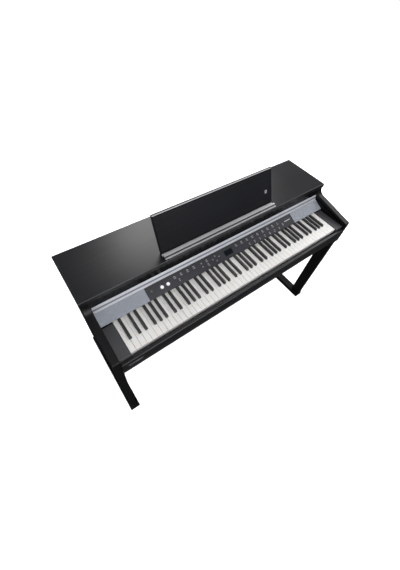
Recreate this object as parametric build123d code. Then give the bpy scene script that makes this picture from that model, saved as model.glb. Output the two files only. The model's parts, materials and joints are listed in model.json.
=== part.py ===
from build123d import *
from math import asin, atan2, cos, degrees, radians, sin, tan
import os

# A home digital piano on its own stand. While it is drawn, x runs across, y runs back from the
# front edge of the white keys, and z runs up from the floor. Each sub-part is shifted as it is
# written, so that the origin is the middle of the footprint, on the floor. Millimetres.

# Keyboard
white_count = 52
key_count = 88
white_pitch = 23.5
white_corner_round = 1.2
white_edge_round = 0.7
key_gap = 1.0
key_top = 740.0
key_side = 20.0
key_lip = 3.0
key_lip_overhang = 1.2
black_front = 50.0
black_length = 107.0
black_rise = 12.0
black_width = 11.0
black_top_width = 9.2
black_front_slope = 4.0
black_edge_round = 1.0
key_dip = 10.0
pivot_y = 255.0
pivot_drop = 12.0
pivot_radius = 2.5
tail_start = 200.0
tail_behind_pivot = 30.0
tail_drop = 4.0
tail_gap = 4.4
hinge_plate = 2.0
hinge_plate_half = 8.0
hinge_plate_above_rod = 6.0
chassis_plate = 5.0
chassis_front = 5.0
chassis_behind_keys = 15.0
felt_front = 6.0
felt_depth = 14.0
felt_thickness = 4.0

# Clearances
running_clearance = 0.05
moving_clearance = 0.3
small_gap = 0.5
key_side_clearance = 1.0
cover_clearance = 1.1
cut_through = 1.0

# Case boards
side_thickness = 31.0
cheek_width = 49.0
cheek_rise = 4.0
cheek_front = -8.0
bed_thickness = 18.0
bed_drop = 62.0
slip_front = -25.0
slip_thickness = 15.0
slip_drop = 11.0
slip_height = 67.0
top_thickness = 20.0
top_rise = 133.0
top_front = 207.0
top_depth = 274.0
top_side_overhang = 4.0
back_thickness = 12.0
front_board_thickness = 15.0
front_board_height = 40.0
front_board_setback = 2.0

# Side panel outline, heights measured from the white key tops
arm_front_top = -24.0
arm_front_bottom = -17.0
arm_nose_rise = 27.0
arm_slope = 0.221
arm_bottom_drop = 124.0
arm_hollow_radius = 35.0
arm_nose_radius = 5.0
arm_heel_radius = 9.0
arm_edge_radius = 2.0

# Stand
leg_depth = 63.0
leg_top_front = -9.0
leg_rake = 31.0
rail_front = 19.0
rail_length = 516.0
rail_width = 52.0
rail_overhang = 6.0
rail_top = 30.0
glide_height = 4.0
glide_radius = 14.0
glide_inset = 40.0
rear_leg_depth = 124.0
back_panel_thickness = 18.0
back_panel_bottom = 45.0
back_panel_height = 470.0
edge_round = 3.0

# Control panel
panel_front = 147.0
panel_rear = 199.0
panel_front_rise = 15.5
panel_rear_rise = 41.0
panel_lip_rise = 13.5
panel_flange = 37.0
panel_thickness = 3.0
panel_bore_length = 20.0
grille_width = 217.5
grille_thickness = 2.0
button_proud = 1.6
button_seat_gap = 0.1
button_flange = 1.5
button_corner = 1.2
button_edge_round = 0.6
knob_radius = 7.5
knob_height = 5.5
knob_edge_round = 1.0
knob_mark_width = 1.2
knob_mark_depth = 0.5
knob_shaft_radius = 3.0
knob_row = 30.0
knob_places = {"volume_knob": -371.0, "brilliance_knob": -341.0}
power_button_place = (-419.0, 25.0)
power_button_radius = 4.5
display_size = (46.0, 25.0)
display_place = (-4.0, 30.0)
display_glass = 1.5
display_ledge = 3.0
panel_post_places = (-390.0, -180.0, 30.0, 250.0, 400.0)
panel_post_down = 8.0
panel_post_radius = 2.5
board_depth = 8.0
board_thickness = 1.6
board_span = (5.0, 44.0)
board_end_gap = 8.0

# Sliding key cover
cover_setback = 16.0
cover_thickness = 8.0
cover_length = 240.0
cover_slot_depth = 6.0
handle_rise = 42.5
handle_top_rise = 71.0
handle_lean = 10.0
handle_side_gap = 3.0
handle_channel = 9.0
handle_channel_depth = 1.5
cover_travel = 205.0

# Music rest
rest_width = 644.0
rest_height = 175.0
rest_thickness = 12.0
rest_lean = 20.0
rest_front = 249.5
rest_hinge_rise = 6.0
rest_hinge_up = 6.0
rest_hinge_back = 4.4
rest_pin_radius = 2.0
rest_knuckle_radius = 3.9
rest_knuckle_half = 9.7
rest_lug_span = (10.2, 18.0)
rest_leaf_height = 38.0
rest_leaf_thickness = 1.5
rest_plate_half = 21.0
rest_plate_front = 9.0
rest_plate_rear = 15.0
rest_plate_thickness = 1.5
rest_post_half = 3.0
rest_hinge_places = (-230.0, 230.0)
ledge_front = 222.0
ledge_depth = 12.0
ledge_height = 10.0

# Pedals
pedal_box_width = 300.0
pedal_box_height = 78.0
pedal_box_front = 300.0
pedal_box_wall = 6.0
pedal_pitch = 68.0
pedal_width = 24.0
pedal_arm_width = 14.0
pedal_thickness = 7.0
pedal_tip = 218.0
pedal_axle_y = 400.0
pedal_axle_radius = 4.0
pedal_height = 82.0
pedal_dip = 15.0
pedal_tail = 22.0
pedal_round = 1.5
paddle_overlap = 10.0
rib_reach = 12.0
pedal_corner_round = 7.2
pedal_wire = 0.9
pedal_coil_pitch = 2.25
pedal_coils = 4

# Electronics and fasteners
woofer_radius = 80.0
woofer_place = (430.0, 385.0)
woofer_hole_radius = 69.6
woofer_basket_radius = 68.8
woofer_flange = 4.0
woofer_surround = 6.0
woofer_magnet_radius = 42.0
woofer_magnet_span = (40.0, 66.0)
woofer_dome_radius = 18.0
woofer_dome_rise = 16.0
tweeter_radius = 18.0
tweeter_down = 27.0
tweeter_length = 12.0
tweeter_top = 3.0
tweeter_magnet_radius = 10.8
tweeter_magnet_length = 5.0
main_board_span = (250.0, 320.0, 450.0)
main_board_lift = 10.0
main_board_inset = (15.0, 10.0)
spacer_radius = 4.0
chips = ((-150, 380, 34, 4), (-60, 400, 28, 3), (60, 370, 40, 5), (170, 400, 26, 6))
supply_half_width = 45.0
supply_depth = 98.0
supply_height = 42.0
supply_rear_gap = 32.0
jack_radius = 3.2
jack_length = 14.0
jack_box_size = (90.0, 60.0, 30.0)
jack_box_x = -560.0
jack_box_front = 5.0
jack_half_pitch = 18.0
inlet_x = -590.0
inlet_rise = 22.0
inlet_half = (15.0, 12.0)
inlet_depth = 25.0
inlet_wall = (2.5, 3.0)
inlet_hollow_depth = 20.0
inlet_flange = (9.0, 3.0)
inlet_flange_thickness = 2.5
blade_half = (1.0, 2.0)
blade_length = 12.0
blade_places = ((-7.0, 2.0), (7.0, 2.0), (0.0, -4.0))
screw_radius = 1.8
screw_head_radius = 3.6
screw_head_height = 1.8
screw_grip = 18.0
screw_shares = (0.12, 0.38, 0.64, 0.9)

# Derived sizes
keyboard_half = white_count * white_pitch / 2
inner_half = keyboard_half + cheek_width
outer_half = inner_half + side_thickness
top_half = outer_half + top_side_overhang
rail_half = outer_half + rail_overhang
top_surface = key_top + top_rise
top_underside = top_surface - top_thickness
top_rear = top_front + top_depth
case_rear = top_rear - back_thickness
bed_top = key_top - bed_drop
bed_bottom = bed_top - bed_thickness
arm_bottom = key_top - arm_bottom_drop
front_board_y = top_front + front_board_setback
rail_rear = rail_front + rail_length
footprint_middle = (slip_front + rail_rear) / 2
pivot_z = key_top - pivot_drop
key_end = pivot_y + tail_behind_pivot
slot_of_five = 3 * white_pitch / 5
slot_of_seven = 4 * white_pitch / 7
tail_width = slot_of_seven - tail_gap
felt_top = key_top - key_side - key_dip - moving_clearance
panel_tilt = atan2(panel_rear_rise - panel_front_rise, panel_rear - panel_front)
panel_z = key_top + panel_rear_rise
panel_half = inner_half - grille_width - small_gap
cover_drop = handle_rise - cheek_rise - cover_clearance
slide_tilt = asin(cover_drop / cover_travel)
lean = radians(rest_lean)
rest_pivot_y = rest_front + rest_hinge_up * sin(lean) + (rest_thickness + rest_hinge_back) * cos(lean)
rest_pivot_z = top_surface + rest_hinge_rise
inlet_z = bed_top + inlet_rise
panel_face = Plane(
    origin=(0, panel_rear, panel_z),
    x_dir=(1, 0, 0),
    z_dir=(0, -sin(panel_tilt), cos(panel_tilt)),
)

note_names = (
    "a", "a_sharp", "b", "c", "c_sharp", "d", "d_sharp", "e", "f", "f_sharp", "g", "g_sharp",
)
notes_from_c_to_a = 9
black_notes = (1, 3, 6, 8, 10)


def block(x0, x1, y0, y1, z0, z1):
    return Pos((x0 + x1) / 2, (y0 + y1) / 2, (z0 + z1) / 2) * Box(x1 - x0, y1 - y0, z1 - z0)


def along_x(points, x0, x1):
    """A prism whose outline is given as (y, z) points, from x0 to x1."""
    face = make_face(Plane.YZ * Polyline(*points, close=True))
    return Pos(x0, 0, 0) * extrude(face, amount=x1 - x0, dir=(1, 0, 0))


def rod_x(radius, x0, x1, y, z):
    return Pos((x0 + x1) / 2, y, z) * Rot(0, 90, 0) * Cylinder(radius, x1 - x0)


def rod_y(radius, y0, y1, x, z):
    return Pos(x, (y0 + y1) / 2, z) * Rot(90, 0, 0) * Cylinder(radius, y1 - y0)


def rod_z(radius, z0, z1, x, y):
    return Pos(x, y, (z0 + z1) / 2) * Cylinder(radius, z1 - z0)


def both_sides(make):
    """The left and the right copy of a piece that is drawn on the right."""
    right = make()
    return mirror(right, about=Plane.YZ), right


def softened(solid, radius):
    """Rounds the edges around a board's top face."""
    return fillet(solid.edges().group_by(Axis.Z)[-1], radius)


# Case -------------------------------------------------------------------------------------------


def arm_top_at(y):
    """Height of the side panel's sloping top edge at a depth y."""
    return key_top + arm_nose_rise + arm_slope * (y - arm_front_top)


def side_panel():
    corner = arm_top_at(front_board_y)
    outline = Polyline(
        (case_rear, arm_bottom),
        (case_rear, top_underside),
        (front_board_y, top_underside),
        (front_board_y, corner),
        (arm_front_top, key_top + arm_nose_rise),
        (arm_front_bottom, arm_bottom),
        close=True,
    )
    face = make_face(Plane.YZ * outline)
    panel = Pos(inner_half, 0, 0) * extrude(face, amount=side_thickness, dir=(1, 0, 0))
    across = panel.edges().filter_by(Axis.X)
    panel = fillet(corner_edge(across, front_board_y, corner), arm_hollow_radius)
    across = panel.edges().filter_by(Axis.X)
    panel = fillet(corner_edge(across, arm_front_top, key_top + arm_nose_rise), arm_nose_radius)
    across = panel.edges().filter_by(Axis.X)
    panel = fillet(corner_edge(across, arm_front_bottom, arm_bottom), arm_heel_radius)
    rims = [e for e in panel.edges() if is_arm_rim(e)]
    panel = fillet(rims, arm_edge_radius)
    return panel - cover_slot() - screw_holes()


def corner_edge(edges, y, z):
    return edges.sort_by_distance((inner_half + side_thickness / 2, y, z))[0]


def is_arm_rim(edge):
    """True for the edges around the arm's front, top and hollow, on both faces of the panel."""
    middle = edge @ 0.5
    lengthwise = abs((edge @ 0).X - (edge @ 1).X) < 0.01
    return lengthwise and middle.Y < front_board_y - 0.01 and middle.Z > arm_bottom + 0.01


def slide_frame(distance):
    """Frame on the cover's middle line, its y axis up the slide, a distance behind the handle."""
    start_y = panel_rear + cover_setback
    start_z = key_top + (handle_rise + handle_top_rise) / 2
    return Pos(0, start_y, start_z) * Rot(degrees(slide_tilt), 0, 0) * Pos(0, distance, 0)


def cover_slot():
    """The groove that guides the cover's edge, open to the inside of the side panel."""
    front = -cover_travel - small_gap
    rear = cover_length + small_gap
    width = cover_thickness + 2 * small_gap
    length = rear - front
    groove = Box(2 * cover_slot_depth, length, width)
    return slide_frame((front + rear) / 2) * Pos(inner_half, 0, 0) * groove


def top_board():
    board = block(-top_half, top_half, top_front, top_rear, top_underside, top_surface)
    return softened(board, edge_round)


def upper_front_panel():
    y0 = front_board_y
    z1 = top_underside
    return block(-inner_half, inner_half, y0, y0 + front_board_thickness, z1 - front_board_height, z1)


def back_board():
    board = block(-outer_half, outer_half, case_rear, top_rear, arm_bottom, top_underside)
    inlet_hole = inlet_body(small_gap / 2)
    return board - screw_holes() - inlet_hole


def key_bed():
    bed = block(-inner_half, inner_half, slip_front + slip_thickness, case_rear, bed_bottom, bed_top)
    low, high = bed_bottom - cut_through, bed_top + cut_through
    for x in (-woofer_place[0], woofer_place[0]):
        bed -= rod_z(woofer_hole_radius, low, high, x, woofer_place[1])
    return bed


def key_slip():
    top = key_top - slip_drop
    rear = slip_front + slip_thickness
    slip = block(-inner_half, inner_half, slip_front, rear, top - slip_height, top)
    return softened(slip, edge_round)


def cheek_block():
    x0 = keyboard_half + key_gap / 2
    top = key_top + cheek_rise
    cheek = block(x0, inner_half, cheek_front, panel_front - small_gap, bed_top, top)
    return softened(cheek, edge_round / 2)


def screw_places():
    span = top_underside - arm_bottom
    for x in (-outer_half + side_thickness / 2, outer_half - side_thickness / 2):
        for share in screw_shares:
            yield x, arm_bottom + share * span


def screw_holes():
    holes = [
        rod_y(screw_radius, case_rear - screw_grip, top_rear, x, z) for x, z in screw_places()
    ]
    return Compound(holes)


def back_screws():
    """Pan heads with plain shanks, one for each hole."""
    screws = []
    for x, z in screw_places():
        shank = rod_y(screw_radius, case_rear - screw_grip, top_rear, x, z)
        head = rod_y(screw_head_radius, top_rear, top_rear + screw_head_height, x, z)
        screws.append(shank + head)
    return Compound(screws)


# Stand ------------------------------------------------------------------------------------------


def front_leg():
    rise = arm_bottom - rail_top
    foot = leg_top_front + leg_rake
    outline = (
        (leg_top_front, rail_top + rise),
        (leg_top_front + leg_depth, rail_top + rise),
        (foot + leg_depth, rail_top),
        (foot, rail_top),
    )
    leg = along_x(outline, inner_half, outer_half)
    upright_edges = [e for e in leg.edges() if abs((e @ 0).Z - (e @ 1).Z) > rise / 2]
    return fillet(upright_edges, edge_round)


def rear_leg():
    return block(inner_half, outer_half, case_rear - rear_leg_depth, case_rear, rail_top, arm_bottom)


def foot_rail():
    x0 = rail_half - rail_width
    rail = block(x0, rail_half, rail_front, rail_rear, glide_height, rail_top)
    return softened(rail, edge_round)


def glides():
    x = rail_half - rail_width / 2
    places = [
        (side * x, y)
        for side in (-1, 1)
        for y in (rail_front + glide_inset, rail_rear - glide_inset)
    ]
    return Compound([rod_z(glide_radius, 0, glide_height, x, y) for x, y in places])


def lower_back_panel():
    y0 = case_rear - back_panel_thickness
    z0 = back_panel_bottom
    return block(-inner_half, inner_half, y0, case_rear, z0, z0 + back_panel_height)


# Pedals -----------------------------------------------------------------------------------------

pedal_names = ("pedal_left", "pedal_middle", "pedal_right")
pedal_rear = pedal_axle_y + pedal_tail
pedal_box_rear = case_rear - back_panel_thickness
pedal_box_bottom = back_panel_bottom
pedal_tip_reach = pedal_axle_y - pedal_tip
pedal_angle = degrees(asin(pedal_dip / pedal_tip_reach))


def pedal_x(index):
    return (index - 1) * pedal_pitch


def pedal_slot(index):
    """The window in the box's front wall, tall enough for the arm at both ends of its travel."""
    x = pedal_x(index)
    half = pedal_arm_width / 2 + key_side_clearance
    drop = pedal_dip * (pedal_axle_y - pedal_box_front) / pedal_tip_reach
    low = pedal_height - pedal_thickness / 2 - drop - 2 * key_side_clearance
    high = pedal_height + pedal_thickness / 2 + 2 * key_side_clearance
    y0 = pedal_box_front
    return block(x - half, x + half, y0 - cut_through, y0 + pedal_box_wall + cut_through, low, high)


def pedal_box():
    half = pedal_box_width / 2
    wall = pedal_box_wall
    top = pedal_box_bottom + pedal_box_height
    box = block(-half, half, pedal_box_front, pedal_box_rear, pedal_box_bottom, top)
    box -= block(-half + wall, half - wall, pedal_box_front + wall, pedal_box_rear - wall,
                 pedal_box_bottom + wall, top - wall)
    rib_y = (pedal_axle_y - rib_reach, pedal_axle_y + rib_reach)
    rib_z = (pedal_box_bottom + wall, pedal_height + rib_reach)
    for index in range(4):
        x = (index - 1.5) * pedal_pitch
        box += block(x - wall / 2, x + wall / 2, *rib_y, *rib_z)
    box -= pedal_axle()
    for index in range(3):
        box -= pedal_slot(index)
    return box


def pedal_axle():
    reach = 1.5 * pedal_pitch + pedal_box_wall
    return rod_x(pedal_axle_radius, -reach, reach, pedal_axle_y, pedal_height)


def pedal(index):
    """A rounded paddle in front, a narrower arm through the box and a boss on the axle."""
    z0 = pedal_height - pedal_thickness / 2
    z1 = pedal_height + pedal_thickness / 2
    paddle_end = pedal_box_front - pedal_dip
    paddle = block(-pedal_width / 2, pedal_width / 2, pedal_tip, paddle_end, z0, z1)
    paddle = fillet(paddle.edges().filter_by(Axis.Z), pedal_corner_round)
    arm_half = pedal_arm_width / 2
    arm = block(-arm_half, arm_half, paddle_end - paddle_overlap, pedal_rear, z0, z1)
    boss = rod_x(pedal_axle_radius * 2, -arm_half, arm_half, pedal_axle_y, pedal_height)
    bore_radius = pedal_axle_radius + running_clearance
    bore = rod_x(bore_radius, -pedal_width, pedal_width, pedal_axle_y, pedal_height)
    body = paddle + arm
    body = fillet(body.edges().group_by(Axis.Z)[-1], pedal_round)
    return Pos(pedal_x(index), 0, 0) * (body + boss - bore)


def pedal_springs():
    """A torsion spring beside each arm, coiled round the axle."""
    springs = []
    coil_radius = pedal_axle_radius + 2 * pedal_wire
    for index in range(3):
        start = pedal_x(index) + pedal_arm_width / 2 + pedal_wire + small_gap
        path = Helix(pitch=pedal_coil_pitch, height=pedal_coils * pedal_coil_pitch, radius=coil_radius)
        profile = Plane(origin=path @ 0, z_dir=path % 0) * Circle(pedal_wire)
        coil = sweep(profile, path=path, is_frenet=True)
        springs.append(Pos(start, pedal_axle_y, pedal_height) * Rot(0, 90, 0) * coil)
    return Compound(springs)


# Keyboard ---------------------------------------------------------------------------------------


def is_black(key):
    return (key + notes_from_c_to_a) % 12 in black_notes


def slot_centre(key):
    """Where a key's tail lies: five tails share C to E, and seven share F to B."""
    semitone = (key + notes_from_c_to_a) % 12
    octave = (key + notes_from_c_to_a) // 12 - 1
    c_left = (2 + 7 * octave) * white_pitch - keyboard_half
    if semitone < 5:
        return c_left + slot_of_five * (semitone + 0.5)
    return c_left + 3 * white_pitch + slot_of_seven * (semitone - 5 + 0.5)


def key_tail(key):
    centre = slot_centre(key)
    z1 = key_top - tail_drop
    tail = block(centre - tail_width / 2, centre + tail_width / 2,
                 tail_start, key_end, key_top - key_side, z1)
    bore_radius = pivot_radius + running_clearance
    return tail - rod_x(bore_radius, centre - tail_width, centre + tail_width, pivot_y, pivot_z)


def white_key(key, white_index):
    left = white_index * white_pitch - keyboard_half + key_gap / 2
    right = left + white_pitch - key_gap
    inner_left, inner_right = left, right
    notch = black_width / 2 + key_side_clearance
    if key > 0 and is_black(key - 1):
        inner_left = slot_centre(key - 1) + notch
    if key < key_count - 1 and is_black(key + 1):
        inner_right = slot_centre(key + 1) - notch
    z0 = key_top - key_side
    front = block(left, right, 0, black_front - key_side_clearance, z0, key_top)
    front = fillet(front.edges().filter_by(Axis.Z).sort_by(Axis.Y)[:2], white_corner_round)
    front = fillet(front.edges().group_by(Axis.Z)[-1].sort_by(Axis.Y)[:3], white_edge_round)
    front -= block(left - cut_through, right + cut_through, -cut_through, key_lip_overhang,
                   z0 - cut_through, key_top - key_lip)
    middle = block(inner_left, inner_right, black_front - key_side_clearance, tail_start, z0, key_top)
    return front + middle + key_tail(key)


def black_key(key):
    centre = slot_centre(key)
    half = black_width / 2
    top_half_width = black_top_width / 2
    outline = Polyline(
        (-half, 0), (half, 0), (top_half_width, black_rise), (-top_half_width, black_rise), close=True
    )
    cap = extrude(make_face(Plane.XZ * outline), amount=black_length, dir=(0, 1, 0))
    over = black_rise + cut_through
    foot = (0, -cut_through)
    slope = ((-cut_through, -cut_through), (-cut_through, over), (black_front_slope, over), foot)
    cap -= along_x(slope, -black_width, black_width)
    cap = fillet(cap.edges().group_by(Axis.Z)[-1], black_edge_round)
    cap = Pos(centre, black_front, key_top) * cap
    body = block(centre - half, centre + half, black_front + black_edge_round, tail_start,
                 key_top - key_side, key_top)
    return cap + body + key_tail(key)


def note_keys(note):
    """Every key of one note name, each a separate solid."""
    keys = []
    for key in range(note, key_count, 12):
        if is_black(key):
            keys.append(black_key(key))
        else:
            white_index = sum(not is_black(k) for k in range(key))
            keys.append(white_key(key, white_index))
    return Compound([k if isinstance(k, Solid) else k.solids()[0] for k in keys])


def hinge_plate_places():
    """Plates that hold the rod: one before each C, and one at each end of the keyboard."""
    edge = keyboard_half - hinge_plate - key_side_clearance
    octaves = [(2 + 7 * n) * white_pitch - keyboard_half for n in range(8)]
    return [-edge] + octaves + [edge]


def key_chassis():
    """A flat tray, the front rail that stops the keys, and the plates that hold the pivot rod."""
    half = keyboard_half
    tray_top = bed_top + chassis_plate
    tray = block(-half, half, chassis_front, key_end + chassis_behind_keys, bed_top, tray_top)
    rail = block(-half, half, felt_front, felt_front + felt_depth, tray_top, felt_top - felt_thickness)
    plates = [
        block(x - hinge_plate / 2, x + hinge_plate / 2, pivot_y - hinge_plate_half,
              pivot_y + hinge_plate_half, tray_top, pivot_z + hinge_plate_above_rod) - key_pivot_rod()
        for x in hinge_plate_places()
    ]
    return Compound([piece.solids()[0] for piece in (tray, rail, *plates)])


def key_pivot_rod():
    return rod_x(pivot_radius, -keyboard_half, keyboard_half, pivot_y, pivot_z)


def key_stop_felt():
    y0 = felt_front
    z0 = felt_top - felt_thickness
    return block(-keyboard_half, keyboard_half, y0, y0 + felt_depth, z0, felt_top)


# Control panel ----------------------------------------------------------------------------------


def on_panel(x, down):
    """A place on the panel's face, a distance down its slope from the rear edge."""
    return panel_face.location * Pos(x, -down, 0)


def panel_outline(thickness):
    slope_foot = key_top + panel_lip_rise
    bend = panel_rear + thickness * tan(panel_tilt / 2)
    under_foot = bend - (panel_z - thickness - slope_foot) / tan(panel_tilt)
    rear = panel_rear + panel_flange
    return (
        (panel_front, slope_foot),
        (panel_front, key_top + panel_front_rise),
        (panel_rear, panel_z),
        (rear, panel_z),
        (rear, panel_z - thickness),
        (bend, panel_z - thickness),
        (under_foot, slope_foot),
    )


button_rows = {
    "function_buttons": [(x, 22.0, 15.0, 6.5) for x in (-301.0, -267.0, -233.0, -199.0)]
    + [(-285.0, 41.0, 8.0, 5.0)],
    "cursor_buttons": [
        (-158.0, 19.0, 9.0, 9.0), (-158.0, 35.0, 9.0, 9.0), (-127.0, 22.0, 13.0, 6.5),
        (-127.0, 42.0, 13.0, 6.5), (-97.0, 27.0, 9.0, 7.0), (-61.0, 27.0, 9.0, 7.0),
        (-79.0, 16.5, 9.0, 7.0), (-79.0, 41.0, 9.0, 7.0),
    ],
    "sound_buttons": [(50.0 + 35.5 * n, 22.0, 15.0, 6.5) for n in range(9)],
    "rhythm_buttons": [(123.0 + 34.7 * n, 40.0, 12.0, 5.5) for n in range(7)]
    + [(364.0, 31.0, 13.0, 7.0)],
}


button_bottom = -panel_thickness - button_seat_gap - button_flange


def button_cap(x, down, width, depth):
    """A cap that stands through the panel, with a flange under it that keeps it in."""
    cap = extrude(RectangleRounded(width, depth, button_corner), amount=button_proud - button_bottom)
    cap = fillet(cap.edges().group_by(Axis.Z)[-1], button_edge_round)
    rim = 2 * button_flange
    flange = extrude(RectangleRounded(width + rim, depth + rim, button_corner), amount=button_flange)
    return on_panel(x, down) * Pos(0, 0, button_bottom) * (cap + flange)


def button_hole(x, down, width, depth):
    room = 2 * moving_clearance
    outline = RectangleRounded(width + room, depth + room, button_corner + moving_clearance)
    return on_panel(x, down) * Pos(0, 0, -panel_bore_length / 2) * extrude(outline, panel_bore_length)


def button_group(name):
    return Compound([button_cap(*place).solids()[0] for place in button_rows[name]])


def power_button():
    radius = power_button_radius
    cap = rod_z(radius, button_bottom, button_proud, 0, 0)
    cap = fillet(cap.edges().group_by(Axis.Z)[-1], button_edge_round)
    flange = rod_z(radius + button_flange, button_bottom, button_bottom + button_flange, 0, 0)
    return on_panel(*power_button_place) * (cap + flange)


def control_panel():
    panel = along_x(panel_outline(panel_thickness), -panel_half, panel_half)
    for places in button_rows.values():
        for place in places:
            panel -= button_hole(*place)
    shaft_hole = knob_shaft_radius + moving_clearance
    for x in knob_places.values():
        panel -= on_panel(x, knob_row) * Cylinder(shaft_hole, panel_bore_length)
    power_hole = power_button_radius + moving_clearance
    panel -= on_panel(*power_button_place) * Cylinder(power_hole, panel_bore_length)
    width, depth = display_size
    view_width, view_depth = width - 2 * display_ledge, depth - 2 * display_ledge
    panel -= on_panel(*display_place) * Box(width, depth, 2 * display_glass)
    panel -= on_panel(*display_place) * Box(view_width, view_depth, panel_bore_length)
    for x in panel_post_places:
        post = rod_z(panel_post_radius, -board_depth, -panel_thickness, 0, 0)
        panel += on_panel(x, panel_post_down) * post
    return panel


def display_window():
    width, depth = display_size
    return on_panel(*display_place) * Pos(0, 0, -display_glass / 2) * Box(width, depth, display_glass)


def speaker_grille():
    outline = panel_outline(grille_thickness)
    return along_x(outline, panel_half + small_gap / 2, inner_half - small_gap / 2)


def knob(name):
    seat = button_proud / 2
    top = seat + knob_height
    body = rod_z(knob_radius, seat, top, 0, 0)
    body = fillet(body.edges().group_by(Axis.Z)[-1], knob_edge_round)
    mark = block(-knob_mark_width / 2, knob_mark_width / 2, knob_radius / 4, knob_radius + cut_through,
                 top - knob_mark_depth, top + cut_through)
    shaft = rod_z(knob_shaft_radius, small_gap - board_depth, seat, 0, 0)
    return on_panel(knob_places[name], knob_row) * (body - mark + shaft)


def panel_board():
    half = panel_half - board_end_gap
    near, far = board_span
    board = block(-half, half, -far, -near, -board_depth - board_thickness, -board_depth)
    return panel_face.location * board


def main_board():
    half, front, rear = main_board_span
    inset_x, inset_y = main_board_inset
    z0 = bed_top + main_board_lift
    top = z0 + board_thickness
    board = block(-half, half, front, rear, z0, top)
    for x, y, size, height in chips:
        board += block(x - size / 2, x + size / 2, y - size / 2, y + size / 2, top, top + height)
    for x in (-half + inset_x, half - inset_x):
        for y in (front + inset_y, rear - inset_y):
            board += rod_z(spacer_radius, bed_top, z0, x, y)
    return board


def circuit_boards():
    return Compound([panel_board().solids()[0], main_board().solids()[0]])


# Speakers, power and sockets --------------------------------------------------------------------


def woofer(x):
    """Basket, cone and magnet of a driver that hangs under the key bed and faces the floor."""
    low = bed_bottom - woofer_flange
    magnet_low = bed_bottom + woofer_magnet_span[0]
    magnet_high = bed_bottom + woofer_magnet_span[1]
    dome = bed_bottom + woofer_dome_rise
    mouth = woofer_basket_radius - woofer_surround
    outline = Polyline(
        (woofer_radius, low), (woofer_radius, bed_bottom), (woofer_basket_radius, bed_bottom),
        (woofer_magnet_radius, magnet_low), (woofer_magnet_radius, magnet_high), (0, magnet_high),
        (0, dome), (woofer_dome_radius, dome), (mouth, low + woofer_flange / 2), (mouth, low),
        close=True,
    )
    return Pos(x, woofer_place[1], 0) * revolve(make_face(Plane.XZ * outline), Axis.Z)


def woofers():
    return Compound([woofer(x).solids()[0] for x in (-woofer_place[0], woofer_place[0])])


def tweeter():
    x = (panel_half + inner_half) / 2
    bottom = -tweeter_top - tweeter_length
    frame = rod_z(tweeter_radius, bottom, -tweeter_top, 0, 0)
    magnet = rod_z(tweeter_magnet_radius, bottom - tweeter_magnet_length, bottom, 0, 0)
    return on_panel(x, tweeter_down) * (frame + magnet)


def power_supply():
    x0, x1 = inlet_x - supply_half_width, inlet_x + supply_half_width
    y1 = case_rear - supply_rear_gap
    return block(x0, x1, y1 - supply_depth, y1, bed_top, bed_top + supply_height)


def around_inlet(half_width, half_height, y0, y1, x=0.0, z=0.0):
    """A block about the inlet's middle line, or about a place x, z from it."""
    x, z = inlet_x + x, inlet_z + z
    return block(x - half_width, x + half_width, y0, y1, z - half_height, z + half_height)


def inlet_body(extra):
    half_width, half_height = inlet_half
    return around_inlet(half_width + extra, half_height + extra, case_rear - inlet_depth, top_rear)


def power_inlet():
    """A mains socket: flange on the back board, a hollow body and three blades inside."""
    half_width, half_height = inlet_half
    outer = top_rear + inlet_flange_thickness
    floor = top_rear - inlet_hollow_depth
    flange_half = (half_width + inlet_flange[0], half_height + inlet_flange[1])
    hollow_half = (half_width - inlet_wall[0], half_height - inlet_wall[1])
    inlet = inlet_body(0) + around_inlet(*flange_half, top_rear, outer)
    inlet -= around_inlet(*hollow_half, floor, outer + cut_through)
    for place in blade_places:
        inlet += around_inlet(*blade_half, floor, floor + blade_length, *place)
    return inlet


def headphone_jack_box():
    width, depth, height = jack_box_size
    x0 = jack_box_x - width / 2
    y0 = jack_box_front
    box = block(x0, x0 + width, y0, y0 + depth, bed_bottom - height, bed_bottom)
    box = fillet(box.edges().group_by(Axis.Z)[0], edge_round / 2)
    for x in jack_places():
        box -= rod_y(jack_radius, y0 - cut_through, y0 + jack_length, x, bed_bottom - height / 2)
    return box


def jack_places():
    return (jack_box_x - jack_half_pitch, jack_box_x + jack_half_pitch)


# Key cover --------------------------------------------------------------------------------------


def key_cover():
    half = inner_half + cover_slot_depth - small_gap
    board = Box(2 * half, cover_length, cover_thickness)
    return slide_frame(cover_length / 2) * board


def key_cover_handle():
    """A bar across the cover's front edge. Its leaning face has a channel along it, and its
    underside runs parallel to the slide, so that the whole bar clears the control panel."""
    half = inner_half - handle_side_gap
    back = slide_frame(0).position
    low = key_top + handle_rise
    high = key_top + handle_top_rise
    front_low = panel_rear
    front_high = panel_rear + handle_lean
    back_high = back.Y + (back.Z - high) * tan(slide_tilt)
    reach = (back.Y - front_low) * cos(slide_tilt) + (back.Z - low) * sin(slide_tilt)
    under_rear = (front_low + reach * cos(slide_tilt), low + reach * sin(slide_tilt))
    bar = along_x(((front_low, low), (front_high, high), (back_high, high), under_rear), -half, half)
    face_tilt = degrees(atan2(front_high - front_low, high - low))
    middle = ((front_low + front_high) / 2, (low + high) / 2)
    length = 2 * (half + cut_through)
    channel = Rot(-face_tilt, 0, 0) * Box(length, 2 * handle_channel_depth, handle_channel)
    return bar - Pos(0, *middle) * channel


# Music rest -------------------------------------------------------------------------------------


def rest_frame():
    """Frame on the rest's hinge pin: z runs up the panel, and y away from its back face."""
    return Pos(0, rest_pivot_y, rest_pivot_z) * Rot(-rest_lean, 0, 0)


def music_rest():
    front = -rest_hinge_back - rest_thickness
    half = rest_width / 2
    panel = block(-half, half, front, -rest_hinge_back, -rest_hinge_up, rest_height - rest_hinge_up)
    panel = fillet(panel.edges().filter_by(Axis.X), edge_round / 2)
    return rest_frame() * panel


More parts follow.
